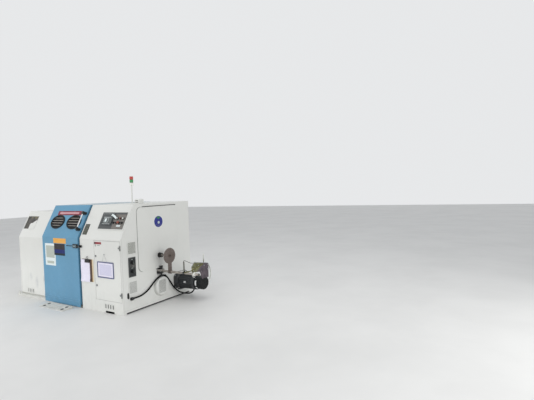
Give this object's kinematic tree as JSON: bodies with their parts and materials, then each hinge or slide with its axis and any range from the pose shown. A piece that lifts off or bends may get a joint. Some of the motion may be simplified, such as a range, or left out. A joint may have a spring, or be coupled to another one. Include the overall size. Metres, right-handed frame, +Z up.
{
  "type": "wire bunching machine",
  "caption": "Double-twist wire buncher: bearing housing, sliding blue cover over the bow and bobbin, control cabinet with a door, wire inlet with guide rail, and drive motor.",
  "frame": {"origin": "on the floor, at the middle of the housings' length and depth", "axes": "+X along the machine towards the wire inlet and motor, front with the door faces -Y, +Z up"},
  "size_m": [3.631, 1.734, 2.064],
  "materials": {
    "white_paint": "satin",
    "blue_paint": "satin",
    "base_paint": "satin",
    "dark_panel": "matt",
    "screen_glass": "gloss",
    "window_glass": "gloss",
    "black_plastic": "matt",
    "bar_metal": "brushed",
    "clamp_metal": "satin",
    "lay_metal": "worn",
    "tray_metal": "worn",
    "motor_paint": "satin",
    "cable_rubber": "matt",
    "roller_plastic": "matt",
    "board": "matt",
    "frame_plastic": "gloss",
    "galvanised": "satin",
    "drive_plastic": "matt",
    "lamp_plastic": "gloss",
    "ramp_steel": "worn",
    "rotor_steel": "satin",
    "bow_steel": "satin",
    "cradle_paint": "satin",
    "bobbin_paint": "worn"
  },
  "bodies": {
    "machine": {"base_plate": "base_paint", "bobbin": "bobbin_paint", "cabinet_housing": "white_paint", "cable_fittings": "black_plastic", "clipboard": "board", "control_panel": "dark_panel", "cover_panels": "white_paint", "cradle": "cradle_paint", "door_hinges": "bar_metal", "drive_units": "drive_plastic", "end_vents": "white_paint", "fan_cowl": "motor_paint", "guide_rail": "bar_metal", "inlet_nose": "black_plastic", "lay_plate": "lay_metal", "left_housing": "white_paint", "left_window": "window_glass", "loading_ramp": "ramp_steel", "lock_keeper": "black_plastic", "low_louvres": "white_paint", "motor_body": "motor_paint", "motor_cable": "cable_rubber", "mounting_plate": "galvanised", "panel_buttons": "black_plastic", "panel_screen": "screen_glass", "rail_brackets": "clamp_metal", "rail_stops": "cable_rubber", "roof_cowl": "white_paint", "rotor_bows": "bow_steel", "rotor_ends": "rotor_steel", "round_cover": "white_paint", "signal_lamp": "lamp_plastic", "signal_pole": "white_paint", "slope_vent": "dark_panel", "switch_panel": "dark_panel", "terminal_box": "motor_paint", "traverse": "cradle_paint", "wire_tray": "tray_metal"},
    "sliding_cover": {"cover_front": "blue_paint", "cover_roof": "blue_paint", "cover_back": "blue_paint", "porthole_rings": "black_plastic", "porthole_panes": "window_glass", "cover_handle": "black_plastic", "handle_bar": "bar_metal", "cover_lock": "black_plastic", "cover_rollers": "roller_plastic"},
    "door": {"cabinet_door": "white_paint", "door_knuckles": "bar_metal", "door_locks": "black_plastic", "document_frame": "frame_plastic"}
  },
  "joints": [
    {"name": "cover_slide", "type": "slide", "parent": "machine", "child": "sliding_cover", "axis": [-1, 0, 0], "range_m": [0, 0.85]},
    {"name": "door_hinge", "type": "hinge", "parent": "machine", "child": "door", "pos_m": [1.387, -0.7415, 0.635], "axis": [0, 0, 1], "range_deg": [0, 120]}
  ]
}
